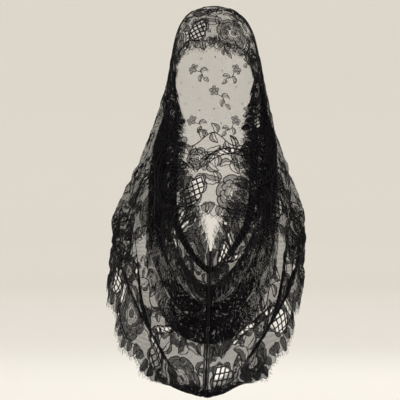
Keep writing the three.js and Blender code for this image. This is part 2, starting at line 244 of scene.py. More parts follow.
# %% Soft steps and curves
def smooth(start, end, x):
    """A soft step from 0 to 1."""
    k = np.clip((x - start) / (end - start), 0, 1)
    return k * k * (3 - 2 * k)


def bump(x):
    """A soft hill of height 1 between -1 and 1."""
    return np.where(np.abs(x) < 1, np.cos(x * np.pi / 2) ** 2, 0)


def cubic(before, start, end, after, k):
    """A cubic from start to end with given end slopes."""
    k2 = k * k
    k3 = k2 * k
    first = (2 * k3 - 3 * k2 + 1) * start + (k3 - 2 * k2 + k) * before
    return first + (3 * k2 - 2 * k3) * end + (k3 - k2) * after


def unit(vectors):
    """Vectors at length 1."""
    return vectors / np.maximum(np.linalg.norm(vectors, axis=-1, keepdims=True), 1e-9)


def station_of(turns):
    """The same count on both sides: 0 at the back middle and 8 at the front middle."""
    return np.abs(STATIONS - (STATIONS - turns) % LAP)


print("stations round the loop:", station_of(np.arange(LAP + 1)))

# %% [markdown]
# Each guide line is a closed curve through its stations, with the left side and then the right. The
# smooth form joins the guide lines from the face edge to the hem, and leans a little as it goes down.

# %% The smooth form
def guide_points(guide, turns):
    """Points of one guide line at many turns, as a turns x 3 array."""
    _, half, depth, drop, top, rows = guide
    lap_rows = []
    for turn in range(LAP):
        other = turn > STATIONS
        left, right, fore, down, sag = rows[LAP - turn if other else turn]
        out = right if other else -left
        lap_rows.append((out * half, -fore * depth, -(top + (down + (sag if other else 0)) * (drop - top))))
    table = np.array(lap_rows)
    first = np.floor(turns).astype(int)
    k = (turns - first)[:, None]
    p = [table[(first + shift) % LAP] for shift in (-1, 0, 1, 2)]
    return cubic((p[2] - p[0]) / 2, p[1], p[2], (p[3] - p[1]) / 2, k)


def form(turns, across):
    """The smooth form before any fold, as a turns x across x 3 array."""
    at = np.array([guide[0] for guide in GUIDES], float)
    lines = np.stack([guide_points(guide, turns) for guide in GUIDES])
    low = np.clip(np.arange(len(at)) - 1, 0, None)
    high = np.clip(np.arange(len(at)) + 1, None, len(at) - 1)
    slopes = (lines[high] - lines[low]) / (at[high] - at[low])[:, None, None]
    i = np.clip(np.searchsorted(at, across, side="right") - 1, 0, len(at) - 2)
    span = (at[i + 1] - at[i])[:, None, None]
    k = ((across - at[i]) / (at[i + 1] - at[i]))[:, None, None]
    points = cubic(span * slopes[i], lines[i], lines[i + 1], span * slopes[i + 1], k).transpose(1, 0, 2)
    points[..., 0] += LEAN * (points[..., 2] / HEM_FRONT_DROP) ** 2
    return points


print("the V lies at", form(np.array([STATIONS]), np.array([0.0]))[0, 0].round(), "mm")

# %% [markdown]
# Soft lace never hangs quite smooth. Narrow pleats run down beside the face edge and across the front,
# and wider waves hang in the cape. They are a few sine waves whose phase drifts, of a few millimetres.

# %% Small pleats and waves
PLEAT_WAVES = [(19, 1.3, 0.45), (29, -0.9, 0.35), (11, 0.6, 0.6)]
PLEAT_HEIGHT = 3.4
CAPE_WAVE_HEIGHT = 5.0
FACE_EDGE_WAVE_HEIGHT = 2.2


def ripples(turns, across):
    """How far the small waves lift the cloth, in millimetres."""
    station = station_of(turns)[:, None]
    side = np.where((turns % LAP) > STATIONS, 1.0, 0.0)[:, None]
    row = across[None, :]
    pleats = sum(share * np.sin(row * count * 2 * np.pi + station * drift + side * 1.7)
                 for count, drift, share in PLEAT_WAVES)
    where = smooth(1.8, 3.6, station) * smooth(0.02, 0.1, row) * (1 - smooth(0.9, 1.0, row))
    cape = np.sin(station * 5.2 + side * 0.9 + row * 3) * 0.6 + np.sin(station * 8.7 + row * 5) * 0.4
    cape_where = smooth(0.55, 0.95, row) * (1 - smooth(6.5, 7.6, station))
    edge = np.sin(turns * 2 * np.pi * 1.5)[:, None] * FACE_EDGE_WAVE_HEIGHT
    edge_where = (1 - smooth(0.0, 0.12, row)) * smooth(1.5, 2.5, station)
    return pleats * PLEAT_HEIGHT * where + cape * CAPE_WAVE_HEIGHT * cape_where + edge * edge_where


print("pleats up to", PLEAT_HEIGHT, "mm, waves of the cape up to", CAPE_WAVE_HEIGHT, "mm")

# %% [markdown]
# Each fold stands up from the form and leans over towards the hem, like a knife pleat. The way out of
# the cloth comes from wide steps along it and across it, so a fold keeps its shape round a bend.

# %% Fold the cloth
def cloth(turns, across):
    """The folded cloth, as a turns x across x 3 array."""
    station = station_of(turns)[:, None]
    front = smooth(FRONT_BEGINS, STATIONS, station)
    along = form(turns + WIDE_ALONG, across) - form(turns - WIDE_ALONG, across)
    lower, upper = np.minimum(1, across + WIDE_ACROSS), np.maximum(0, across - WIDE_ACROSS)
    over = unit(form(turns, lower) - form(turns, upper))
    outward = unit(np.cross(over, along))
    points = form(turns, across)
    for side, fore, depth, fore_depth, tilt, begins, full in FOLDS:
        start = side[0] + (fore[0] - side[0]) * front
        end = side[1] + (fore[1] - side[1]) * front
        share = np.clip((across[None, :] - start) / (end - start), 0, 1)
        height = FOLD_DEPTH * (depth + (fore_depth - depth) * front) * smooth(begins, full, station)
        points += outward * (height * bump(2 * share ** RISE_WARP - 1))[..., None]
        lean = tilt * (1 + (SWAG_LEAN - 1) * smooth(4.8, 6.5, station))
        points += over * (height * lean * bump(2 * share / FALLS_BACK_BY - 1))[..., None]
    hang = smooth(0.5, 1, across)[None, :] * (1 - smooth(3.5, 5.5, station))
    wave = 0.5 - 0.5 * np.cos(station / 4 * BACK_FOLDS * 2 * np.pi)
    points += outward * (ripples(turns, across) - BACK_FOLD_DEPTH * hang * wave)[..., None]
    return points


print("the front folds stand up by", [round(FOLD_DEPTH * fold[3]) for fold in FOLDS], "mm")
TURNS = 769
turns_fine = STATIONS + LAP * np.linspace(0, 1, TURNS)
across_fine = np.linspace(0, 1, 641)
raw = cloth(turns_fine, across_fine)
print("form sampled:", raw.shape, "lowest", raw.min((0, 1)).round(), "highest", raw.max((0, 1)).round())

# %% [markdown]
# Lace does not stretch where it folds, so equal steps on the flat lace have to be equal steps on the
# hanging one. Each line across the cloth is walked by its true length, and so is each line round it.

# %% Lay the flat lace on the form
ROWS = 401


def even_steps(points, count, lengths_of=None):
    """A line of points resampled at equal lengths."""
    guide = points if lengths_of is None else lengths_of
    walked = np.concatenate([[0], np.cumsum(np.linalg.norm(np.diff(guide, axis=0), axis=1))])
    where = np.linspace(0, walked[-1], count)
    return np.stack([np.interp(where, walked, points[:, axis]) for axis in range(3)], 1), walked[-1]


columns = [even_steps(line, ROWS) for line in raw]
by_row = np.stack([line for line, _ in columns])
cloth_width = float(np.mean([length for _, length in columns]))
flat_form = form(turns_fine, across_fine)
form_rows = np.stack([even_steps(line, ROWS)[0] for line in flat_form])
rows = [even_steps(by_row[:, j], TURNS, form_rows[:, j]) for j in range(ROWS)]
hung = np.stack([line for line, _ in rows], 1)
loop_lengths = np.array([length for _, length in rows])
loop_length = float(loop_lengths.mean())
hung_normals = unit(np.cross(np.gradient(hung, axis=1), np.gradient(hung, axis=0)))
print("flat lace about %.0f x %.0f mm; loop %.0f mm at the face edge, %.0f mm at the hem"
      % (cloth_width, loop_length, loop_lengths[0], loop_lengths[-1]))

# %% [markdown]
# ## The pattern, drawn flat
# Galloon lace repeats. In one repeat each border holds a large rose and two small ones with leaves, a
# patch and two bands of open lattice, a garland, and a broad and a small scallop. Small sprays lie on
# the plain net between the borders. A motif is drawn round its own middle in millimetres, and set down
# in the repeat so that it keeps its shape there.

# %% Set motifs down in the repeat
REPEATS = 8
threads = []
solids = []
lattices = []


def loop_at(v):
    """The true length of one repeat in millimetres, at a place across the cloth."""
    return np.interp(v, np.linspace(0, 1, ROWS), loop_lengths) / REPEATS


def placed(points, spot):
    """Motif points in millimetres, set down in the repeat. spot is (share of the repeat, rows up, side)."""
    share, up, side = spot
    v = (up + points[:, 1]) / cloth_width
    middle = up / cloth_width
    middle = middle if side == "face" else 1 - middle
    v = v if side == "face" else 1 - v
    return np.stack([share + points[:, 0] / loop_at(middle), v], 1)


def draw(points, spot, thick, closed=False):
    """Adds an outline thread."""
    points = np.asarray(points, float)
    if closed:
        points = np.vstack([points, points[:1]])
    threads.append((placed(points, spot), thick, spot[2]))


def fill(points, spot):
    """Adds a part worked solid."""
    solids.append(placed(np.asarray(points, float), spot))


def open_out(points, spot):
    """Adds a part where the fine net gives way to open lattice."""
    lattices.append(placed(np.asarray(points, float), spot))


print("one repeat is %.0f mm long at the face edge, %.0f mm at the hem" % (loop_at(0), loop_at(1)))

# %% [markdown]
# A designer of lace works from a few curves. An arc, a ring and the ruffled edge of a petal are enough
# for the flowers here, and any of them can be turned about the middle of its motif.

# %% Curves to draw with
def arc(radius, start, end, count, centre=(0, 0)):
    """Points on an arc. Angles are in degrees."""
    angles = np.radians(np.linspace(start, end, count))
    return np.stack([centre[0] + radius * np.cos(angles), centre[1] + radius * np.sin(angles)], 1)


def turned(points, angle, shift=(0, 0)):
    """Points turned about the motif's middle and moved."""
    c, s = math.cos(math.radians(angle)), math.sin(math.radians(angle))
    return points @ np.array([[c, s], [-s, c]]) + np.array(shift)


def petal_edge(inner, outer, middle, spread, count=9, ruffle=0.0):
    """One petal's outer edge: it rises from the inner ring to the outer one and back."""
    k = np.linspace(-1, 1, count)
    radius = inner + (outer - inner) * np.sqrt(np.clip(1 - k ** 4, 0, 1)) * (1 + ruffle * np.cos(k * 9))
    angles = np.radians(middle + k * spread)
    return np.stack([radius * np.cos(angles), radius * np.sin(angles)], 1)


def ring_between(inner, outer, count=24):
    """The outline of a flat ring."""
    return np.vstack([arc(outer, 0, 360, count), arc(inner, 360, 0, count)])


print("a petal's edge has", len(petal_edge(0.5, 1.0, 0, 30)), "points")

# %% [markdown]
# The rose is the chief flower of this lace. Its petals stand in three rings, and each has a lip worked
# solid. Open net with ten spokes lies round the heart.

# %% Draw the rose
ROSE_RINGS = [(0.7, 1.0, 7, 29, 12, 2.0), (0.5, 0.8, 6, 34, 40, 1.7), (0.34, 0.58, 5, 40, 10, 1.4)]


def rose(spot, size):
    """A full rose: rings of ruffled petals round an open ring and a small solid heart."""
    for inner, outer, petals, spread, start, thick in ROSE_RINGS:
        for p in range(petals):
            middle = start + p * 360 / petals
            edge = petal_edge(size * inner, size * outer, middle, spread, 13, 0.035)
            lip = petal_edge(size * inner, size * (inner * 0.72 + outer * 0.28), middle, spread * 0.84, 11)
            draw(edge, spot, thick)
            fill(np.vstack([edge, lip[::-1]]), spot)
            if outer == 1.0:
                for k in (-0.35, 0.35):
                    angle = math.radians(middle + k * spread)
                    ends = np.array([[math.cos(angle), math.sin(angle)]]) * np.array([[0.8], [0.92]]) * size
                    draw(ends, spot, 0.9)
    open_out(ring_between(size * 0.17, size * 0.32), spot)
    draw(arc(size * 0.32, 0, 345, 18), spot, 1.3, closed=True)
    for p in range(10):
        spoke = arc(size * 0.16, p * 36, p * 36, 1)
        draw(np.vstack([spoke, spoke * 2.0]), spot, 1.0)
    fill(arc(size * 0.17, 0, 330, 12), spot)
    draw(arc(size * 0.16, 0, 330, 12), spot, 1.3, closed=True)


print("petals in a rose:", sum(ring[2] for ring in ROSE_RINGS))

# %% [markdown]
# Open work lets the light through. A leaf-shaped patch holds a diagonal mesh of thick threads, and
# curved bands hold round openings between two thick threads.

# %% Draw open patches and bands
RIM_POINTS = 32
RIM_TAPER = 0.25
DIAGONAL = 0.71


def mesh_patch(spot, long, wide, tilt, pitch):
    """A leaf-shaped patch of diagonal open mesh, with small petals along its rim."""
    k = np.linspace(0, 2 * np.pi, RIM_POINTS + 1)[:-1]
    rim = np.stack([long * np.cos(k), wide * np.sin(k) * (1 - RIM_TAPER * np.cos(k))], 1)
    steps = np.linspace(-long * 1.5, long * 1.5, 61) * DIAGONAL
    for way in (1, -1):
        for i in range(-9, 10):
            beside = i * pitch * DIAGONAL
            x, y = steps + beside, way * (steps - beside)
            inside = (x / long) ** 2 + (y / (wide * (1 - RIM_TAPER * x / long))) ** 2 < 1
            if inside.sum() > 3:
                draw(turned(np.stack([x, y], 1)[inside][[0, -1]], tilt), spot, 2.9)
    rim = turned(rim, tilt)
    draw(rim, spot, 2.1, closed=True)
    open_out(rim, spot)
    for i in range(0, RIM_POINTS, 4):
        ends = np.stack([rim[i], rim[(i + 4) % RIM_POINTS]])
        out = unit(ends.mean(0))
        k = np.linspace(0, 1, 7)[:, None]
        petal = ends[0] * (1 - k) + ends[1] * k + out * pitch * 0.72 * np.sin(k * np.pi) ** 0.7
        draw(petal, spot, 1.6)
        fill(petal, spot)


def lattice_band(spot, inner, outer, start, end, hole):
    """A curved band of round openings between two thick threads."""
    count = max(6, int(abs(end - start) / 9))
    near = arc(inner, start, end, count)
    far = arc(outer, start, end, count)
    draw(near, spot, 2.2)
    draw(far, spot, 2.2)
    open_out(np.vstack([near, far[::-1]]), spot)
    tracks = max(1, round((outer - inner) / (hole * 2 + 0.9)))
    for track in range(tracks):
        radius = inner + (outer - inner) * (track + 0.5) / tracks
        steps = max(1, round(math.radians(abs(end - start)) * radius / (hole * 2 + 0.9)))
        for step in range(steps):
            angle = start + (end - start) * (step + 0.5) / steps
            middle = arc(radius, angle, angle, 1)[0]
            draw(arc(hole, 0, 324, 10, middle), spot, 1.5, closed=True)


print("a mesh patch has", RIM_POINTS // 4, "petals along its rim")

# %% [markdown]
# Leaves fill the spaces round the flowers. Each has a toothed outline and a spine, and one half worked
# solid. The plain net between the borders holds small sprays and worked dots.

# %% Draw leaves, sprays and dots
def leaf(spot, foot, angle, length, width, bend, teeth=4, veins=3, thick=1.6, whole=False):
    """A serrated leaf, with one half worked solid or the whole of it."""
    k = np.linspace(0, 1, 15)
    spine = np.stack([k * length, bend * length * np.sin(k * np.pi)], 1)
    half = width / 2 * np.sin(np.pi * k ** 0.8) ** 0.8 * (1 + 0.12 * np.cos(k * teeth * 2 * np.pi))
    upper = spine + np.stack([np.zeros(15), half], 1)
    lower = spine - np.stack([np.zeros(15), half], 1)
    upper, lower, spine = [turned(side, angle, foot) for side in (upper, lower, spine)]
    draw(upper, spot, thick)
    draw(lower, spot, thick)
    draw(spine, spot, 1.2)
    fill(np.vstack([upper, (lower if whole else spine)[::-1]]), spot)
    for i in range(veins):
        place = 3 + i * 3
        draw(np.array([spine[place], (lower[place + 2] + spine[place + 2]) / 2]), spot, 0.9)


def spray(spot, size, angle):
    """A small five-petalled flower on a stem with three leaves."""
    for p in range(5):
        edge = petal_edge(size * 0.2, size * 0.66, angle + p * 72, 34, 8)
        draw(edge, spot, 1.2, closed=True)
        fill(edge, spot)
    draw(arc(size * 0.16, 0, 300, 6), spot, 1.0, closed=True)
    stem = turned(np.stack([np.linspace(0.6, 2.2, 7), 0.35 * np.sin(np.linspace(0, 3, 7))], 1) * size, angle)
    draw(stem, spot, 1.3)
    leaf(spot, stem[2], angle + 50, size * 1.1, size * 0.5, 0.2, 3, 1, 1.2)
    leaf(spot, stem[4], angle - 50, size * 1.1, size * 0.5, -0.2, 3, 1, 1.2)
    leaf(spot, stem[6], angle + 8, size * 1.0, size * 0.46, 0.1, 3, 1, 1.2)


def dot(spot, size):
    """A worked dot in the plain net."""
    ring = arc(size, 0, 300, 6)
    draw(ring, spot, 1.0, closed=True)
    fill(ring, spot)


print("motifs ready")

# %% [markdown]
# The two long edges are scalloped: in each repeat one broad lobe and one small one. Little teeth make
# the line of the edge ragged.

# %% The scalloped edges
SCALLOP_DEPTH = 15
LOBES = [(0.0, 0.4), (0.4, 1.0)]
TOOTH_DEPTH = 8.5
SHORT_TOOTH = 6.0
TEETH = 10


def notch(share, teeth=True):
    """How deep the edge is cut in, in millimetres, at a share of the repeat."""
    place = np.asarray(share, float) % 1
    deep = np.full(place.shape, float(SCALLOP_DEPTH))
    for start, end in LOBES:
        inside = (place >= start) & (place < end)
        size = (end - start) / (LOBES[1][1] - LOBES[1][0])
        k = (place - start) / (end - start)
        lobe = SCALLOP_DEPTH * (1 - size * np.sin(np.clip(k, 0, 1) * np.pi) ** 0.8)
        deep = np.where(inside, lobe, deep)
    if not teeth:
        return deep
    tooth = np.abs(np.sin(place * TEETH * np.pi)) ** 0.6
    short = (np.floor(place * TEETH + 1e-9) % 2 == 0) * SHORT_TOOTH
    return deep + TOOTH_DEPTH * (1 - tooth) + short * tooth


print("the edge is cut in by up to %.1f mm" % notch(np.linspace(0, 1, 500)).max())

# %% [markdown]
# A border is drawn from its edge inwards. Small leaf-like fingers, worked solid, fan out to the edge in
# each lobe. Then come the rose, the buds and the open work with their leaves, and a garland closes it.
# Sizes are in millimetres, angles in degrees.

# %% Draw a border
def border(side, size):
    """The whole border along one edge. size scales its motifs."""
    tile = float(loop_at(0.06 if side == "face" else 0.94))
    spot = (0.7, 51 * size, side)
    rose(spot, 35 * size)
    for angle, far, long, wide in ((150, 36, 36, 17), (92, 37, 30, 16), (36, 36, 34, 16)):
        leaf(spot, arc(far * size, angle, angle, 1)[0], angle - 14, long * size, wide * size, -0.18)
    lattice_band(spot, 40 * size, 50 * size, 228, 166, 4.2 * size)
    lattice_band(spot, 72 * size, 82 * size, 140, 44, 4.2 * size)
    patch = (0.2, 56 * size, side)
    mesh_patch(patch, 28 * size, 16.5 * size, 118, 9 * size)
    leaf(patch, (-4 * size, 32 * size), 60, 30 * size, 14 * size, 0.2)
    leaf(patch, (-16 * size, 33 * size), 118, 34 * size, 15 * size, -0.2)
    leaf(patch, (19 * size, 6 * size), 20, 22 * size, 12 * size, 0.2)
    bud = (0.17, 112 * size, side)
    rose(bud, 19 * size)
    for angle in (35, 145, 205, 335):
        leaf(bud, arc(19 * size, angle, angle, 1)[0], angle + 10, 26 * size, 13 * size, 0.2, 3, 2)
    upper_bud = (0.68, 116 * size, side)
    rose(upper_bud, 17 * size)
    for angle in (10, 55, 125, 170, 215, 325):
        leaf(upper_bud, arc(17 * size, angle, angle, 1)[0], angle + 10, 24 * size, 12 * size, 0.2, 3, 2)
    loose = [(0.42, 92, 70), (0.4, 124, 100), (0.95, 96, 80), (0.93, 66, 70), (0.44, 62, 110)]
    for share, up, angle in loose:
        leaf((share, up * size, side), (0, 0), angle, 24 * size, 12 * size, 0.2, 3, 2)
    k = np.linspace(0, 1, 40)
    garland = np.stack([(k - 0.5) * tile, (146 + 10 * np.cos(k * 4 * np.pi)) * size], 1)
    draw(garland, (0.5, 0.0, side), 2.0)
    for i in range(10):
        foot = garland[1 + i * 4]
        leaf((0.5, 0.0, side), foot, 62 if i % 2 else -118, 20 * size, 10 * size, 0.2, 3, 1)
    for start, end in LOBES:
        fingers = round((end - start) * TEETH)
        for f in range(fingers):
            share = start + (end - start) * (f + 0.5) / fingers
            lean = 90 + (f - (fingers - 1) / 2) * -9
            long = (24 if f % 2 else 19) * size
            foot = np.array([0, float(notch(share)) + 1.0 + long])
            leaf((share, 0.0, side), foot, -lean, long, 12.5 * size, 0.1, 3, 0, 1.4, True)
    k = np.linspace(0, 1, 50)
    inner = np.stack([(k - 0.5) * tile, notch(k, False) + 22 * size], 1)
    draw(inner, (0.5, 0.0, side), 1.6)


border("face", 0.95)
border("hem", 1.15)
print("both borders drawn with", len(threads), "threads")

# %% [markdown]
# The plain net between the borders is strewn with sprays in staggered rows, and dots beside them.

# %% Strew the plain net
SPRAY_ROWS = 5
SPRAY_SIZE = 15

for row in range(SPRAY_ROWS):
    for column in range(2):
        up = cloth_width * (0.32 + 0.085 * row)
        share = (0.25 + 0.5 * column + 0.25 * (row % 2)) % 1
        spray((share, up, "face"), SPRAY_SIZE, 90 + 40 * (-1) ** (row + column))
        for near in (0.17, 0.33):
            dot(((share + near) % 1, up + 12, "face"), 2.0)
            dot(((share - near + 0.08) % 1, up - 16, "face"), 2.0)
total = sum(len(points) for points, _, _ in threads)
print(len(threads), "threads with", total, "points")
print(len(solids), "solid parts,", len(lattices), "open parts")

# %% [markdown]
# ## From the flat to the hanging lace
# A place on the flat lace is now looked up on the hanging cloth, between four neighbours of its grid.
# Near the V the face edge is turned under a little, so its scallops show less there.

# %% Find places on the hanging cloth
LAPEL_FLAT = 0.75
EDGE_REACH = 8


def hang(u, v):
    """Places in metres and normals. u goes round the loop and v goes across, both 0 to 1."""
    u = np.clip(np.asarray(u, float), 0, 1)
    v = np.asarray(v, float)
    near_vee = smooth(0.62, 0.8, 1 - 2 * np.minimum(u, 1 - u))
    v = v - LAPEL_FLAT * near_vee * notch(u * REPEATS) / cloth_width * np.clip(1 - v, 0, 1) ** EDGE_REACH
    x = u * (TURNS - 1)
    y = v * (ROWS - 1)
    i = np.minimum(x.astype(int), TURNS - 2)
    j = np.clip(y.astype(int), 0, ROWS - 2)
    a = (x - i)[..., None]
    b = (y - j)[..., None]

    def mixed(grid):
        """A grid's value at each place, between its four neighbours."""
        near = grid[i, j] * (1 - a) + grid[i + 1, j] * a
        return near * (1 - b) + (grid[i, j + 1] * (1 - a) + grid[i + 1, j + 1] * a) * b

    return mixed(hung) * MM, unit(mixed(hung_normals))


print("the V hangs at", hang(np.zeros(1), np.zeros(1))[0].round(3), "m")

# %% [markdown]
# ## The net
# The lace ground is a silk net of small six-sided holes. The sheet itself is one smooth mesh, and its
# shader cuts the holes. The sheet also has to know where the lace is worked solid and where it opens
# into lattice. Each vertex stores its distance to the nearest such outline, positive inside. The zero
# between two vertices then falls on the outline, so a curve stays crisp on a coarse mesh.

# %% Distance to the drawn parts
COLUMNS_PER_REPEAT = 70
SHEET_ROWS = 170
EDGE_CROWDING = 0.05
FARTHEST = 6.0


def signed_distance(polygons, where):
    """The signed distance in millimetres from places to the nearest polygon, positive inside."""
    scale = np.array([loop_length / REPEATS, cloth_width])
    best = np.full(len(where), -FARTHEST)
    spots = where * scale
    for polygon in polygons:
        for wrap in (-1, 0, 1):
            ring = (polygon + np.array([wrap, 0])) * scale
            low = ring.min(0) - FARTHEST
            high = ring.max(0) + FARTHEST
            near = np.nonzero(((spots > low) & (spots < high)).all(1))[0]
            if not len(near):
                continue
            p = spots[near][:, None]
            a = ring[None]
            b = np.roll(ring, -1, 0)[None]
            edge = b - a
            k = np.clip(((p - a) * edge).sum(-1) / np.maximum((edge ** 2).sum(-1), 1e-9), 0, 1)
            distance = np.linalg.norm(p - a - edge * k[..., None], axis=-1).min(1)
            crossing = (a[..., 1] > p[..., 1]) != (b[..., 1] > p[..., 1])
            rise = np.where(np.abs(edge[..., 1]) < 1e-9, 1e-9, edge[..., 1])
            left = p[..., 0] < a[..., 0] + edge[..., 0] * (p[..., 1] - a[..., 1]) / rise
            inside = (crossing & left).sum(1) % 2 == 1
            best[near] = np.maximum(best[near], np.where(inside, distance, -distance))
    return np.clip(best, -FARTHEST, FARTHEST)


def sheet_rows(share, v):
    """Rows of the sheet, crowded towards both edges and drawn in where the scallops are cut."""
    cut = notch(share) / cloth_width
    v = v - EDGE_CROWDING * np.sin(2 * np.pi * v)
    return cut + (1 - 2 * cut) * v


tile_u, tile_v = np.meshgrid(np.arange(COLUMNS_PER_REPEAT) / COLUMNS_PER_REPEAT,
                             np.linspace(0, 1, SHEET_ROWS + 1), indexing="ij")
tile_v = sheet_rows(tile_u, tile_v)
tile_places = np.stack([tile_u.ravel(), tile_v.ravel()], 1)
solid_distance = signed_distance(solids, tile_places).reshape(tile_u.shape)
lattice_distance = signed_distance(lattices, tile_places).reshape(tile_u.shape)
print("solid share %.2f, lattice share %.2f" % ((solid_distance > 0).mean(), (lattice_distance > 0).mean()))

# %% [markdown]
# ## Gathered lace
# Where lace is gathered, its threads are drawn together and its holes close up, so it looks darker.
# That happens in the columns beside the face edge, in the swags of the front, and in the roll at its
# foot. One number for each vertex says how tightly the lace is gathered there. The places are given by
# station, 0 at the back middle and 8 at the front middle, and by the share v across the lace.

# %% How tightly the lace is gathered
SEAM_ALLOWANCE = 6.0
STREAKS = 8


def to_seam(u, v):
    """How far a place is from the seam, in millimetres along the lace."""
    return np.minimum(u, 1 - u) * loop_at(v) * REPEATS


def rolled(u, v):
    """1 in the roll at the foot of the front, 0 elsewhere."""
    return smooth(5.6, 6.6, np.abs(1 - 2 * u) * STATIONS) * smooth(0.88, 0.905, v)


def gathering(u, v):
    """How tightly the lace is gathered, from 0 to 1."""
    station = np.abs(1 - 2 * u) * STATIONS
    front = smooth(5.6, 6.8, station)
    start = smooth(0.05 - 0.05 * front, 0.14 - 0.11 * front, v)
    middle = 0.5 + 0.29 * smooth(5.5, 8.3, station)
    end = 1 - smooth(middle - 0.05, middle + 0.05, v)
    close = smooth(6.2, 7.2, station) * smooth(0.2, 0.4, v)
    streaks = 0.45 + 0.6 * close + (0.4 - 0.3 * close) * np.sin(v * 2 * np.pi * STREAKS + station * 0.6)
    swags = smooth(2.2, 4.0, station) * start * end * streaks
    beside_face = smooth(1.0, 1.8, station) * (1 - smooth(4.2, 5.2, station)) * (1 - smooth(0.22, 0.42, v))
    sides = 0.4 * smooth(0.6, 2.4, station) * (1 - smooth(5.0, 6.8, station)) * smooth(0.1, 0.25, v)
    lapel = smooth(4.2, 5.4, station) * (0.45 + 0.4 * smooth(0.05, 0.08, v)) * (1 - smooth(0.16, 0.2, v))
    low = 0.6 * smooth(2.0, 4.0, station) * smooth(0.6, 0.75, v)
    seam = 0.8 * (1 - smooth(SEAM_ALLOWANCE - 1, SEAM_ALLOWANCE + 1, to_seam(u, v)))
    return np.clip(np.max([swags, beside_face, sides, lapel, low, rolled(u, v), seam], axis=0), 0, 1)


print("gathered at the front swags:", round(float(gathering(np.array(0.02), np.array(0.5))), 2))

# %% [markdown]
# The sheet is one grid. Each of its vertices goes to its place on the hanging cloth, and stores how the
# lace is worked there. Its UV map keeps the flat lace in its true proportions, for the net to be drawn on.

# %% Hang the sheet
SEAM_CLEAR = 2.4
ROLL_CLOSES = 20

bpy.ops.object.select_all(action="DESELECT")
sheet_columns = REPEATS * COLUMNS_PER_REPEAT
bpy.ops.mesh.primitive_grid_add(x_subdivisions=sheet_columns, y_subdivisions=SHEET_ROWS, size=1)
net = bpy.context.active_object
net.name = "lace_net"
net.data.name = "lace_net"
flat = np.empty(len(net.data.vertices) * 3, np.float32)
net.data.vertices.foreach_get("co", flat)
flat = flat.reshape(-1, 3) + 0.5
u = flat[:, 0].astype(float)
column = np.rint(u * sheet_columns).astype(int)
row = np.rint(flat[:, 1] * SHEET_ROWS).astype(int)
share = (column % COLUMNS_PER_REPEAT) / COLUMNS_PER_REPEAT
v = sheet_rows(share, row / SHEET_ROWS)
turn_in = np.where(column == 0, SEAM_CLEAR, np.where(column == sheet_columns, -SEAM_CLEAR, 0)) * MM
places, _ = hang(u, v)
places[:, 0] += turn_in
net.data.vertices.foreach_set("co", places.astype(np.float32).ravel())
inset = to_seam(u, v) - SEAM_ALLOWANCE
solid_here = np.maximum(solid_distance[column % COLUMNS_PER_REPEAT, row], -inset)
lattice_here = np.minimum(lattice_distance[column % COLUMNS_PER_REPEAT, row], inset)
lattice_here -= ROLL_CLOSES * rolled(u, v)
for name, values in (("solid", solid_here), ("lattice", lattice_here), ("gather", gathering(u, v))):
    layer = net.data.attributes.new(name, "FLOAT", "POINT")
    layer.data.foreach_set("value", values.astype(np.float32))
while net.data.uv_layers:
    net.data.uv_layers.remove(net.data.uv_layers[0])
uv = net.data.uv_layers.new(name="OFBake")
corner = np.empty(len(net.data.loops), np.int32)
net.data.loops.foreach_get("vertex_index", corner)
longest = max(loop_length, cloth_width)
uv_places = np.stack([u * loop_length / longest, v * cloth_width / longest], 1)[corner]
uv.data.foreach_set("uv", uv_places.astype(np.float32).ravel())
net.data.update()
bpy.ops.object.shade_smooth()
print("net sheet:", len(net.data.polygons), "faces, cut", round(cloth_width), "x", round(loop_length), "mm")

# %% [markdown]
# ## Silk net and solid work
# The holes of the net are six-sided. Neighbouring threads run up the lace side by side and swing apart
# and together, and twist where they touch. A folded coordinate gives that with little arithmetic. Solid
# parts are a diagonal weave. In both, the thread is drawn wider where the lace is gathered.
# The real mesh is about 2 mm. It is drawn a little coarser, because it would be too fine to show.

# %% Draw the net and the weave
NET_PITCH = 2.6
NET_TALL = 2.9
NET_THREAD = 0.46
NET_GATHERED = 1.55
NET_SOFT = 0.08
WEAVE_PITCH = 1.4
WEAVE_THREAD = 0.4
WEAVE_GATHERED = 0.88
WEAVE_SOFT = 0.04


def thread_mask(tree, gather, distance, loose, gathered, soft, settings=None):
    """1 on a thread and 0 off it. The thread grows from its loose width to its gathered width."""
    half = node(tree, "ShaderNodeMath", {"operation": "MULTIPLY_ADD"},
                {0: gather, 1: (gathered - loose) / 2, 2: loose / 2})
    inside = node(tree, "ShaderNodeMath", {"operation": "SUBTRACT"}, {0: half, 1: distance})
    return node(tree, "ShaderNodeMapRange", settings,
                {"Value": inside, "From Min": -soft, "From Max": soft})


def net_threads(tree, x, y, gather):
    """1 on the threads of the six-sided net."""
    rise = node(tree, "ShaderNodeMath", {"operation": "DIVIDE"}, {0: y, 1: NET_TALL / 2})
    wave = node(tree, "ShaderNodeMath", {"operation": "PINGPONG"}, {0: rise, 1: 1.0})
    swing = node(tree, "ShaderNodeMath", {"operation": "MULTIPLY_ADD", "use_clamp": True},
                 {0: wave, 1: 1.5, 2: -0.25})
    run = node(tree, "ShaderNodeMath", {"operation": "DIVIDE"}, {0: x, 1: NET_PITCH / 2})
    fold = node(tree, "ShaderNodeMath", {"operation": "PINGPONG"}, {0: run, 1: 1.0})
    beside = node(tree, "ShaderNodeMath", {"operation": "SUBTRACT"}, {0: fold, 1: swing})
    apart = node(tree, "ShaderNodeMath", {"operation": "ABSOLUTE"}, {0: beside})
    gap = node(tree, "ShaderNodeMath", {"operation": "MULTIPLY"}, {0: apart, 1: NET_PITCH / 2})
    return thread_mask(tree, gather, gap, NET_THREAD, NET_GATHERED, NET_SOFT,
                       {"interpolation_type": "SMOOTHSTEP"})


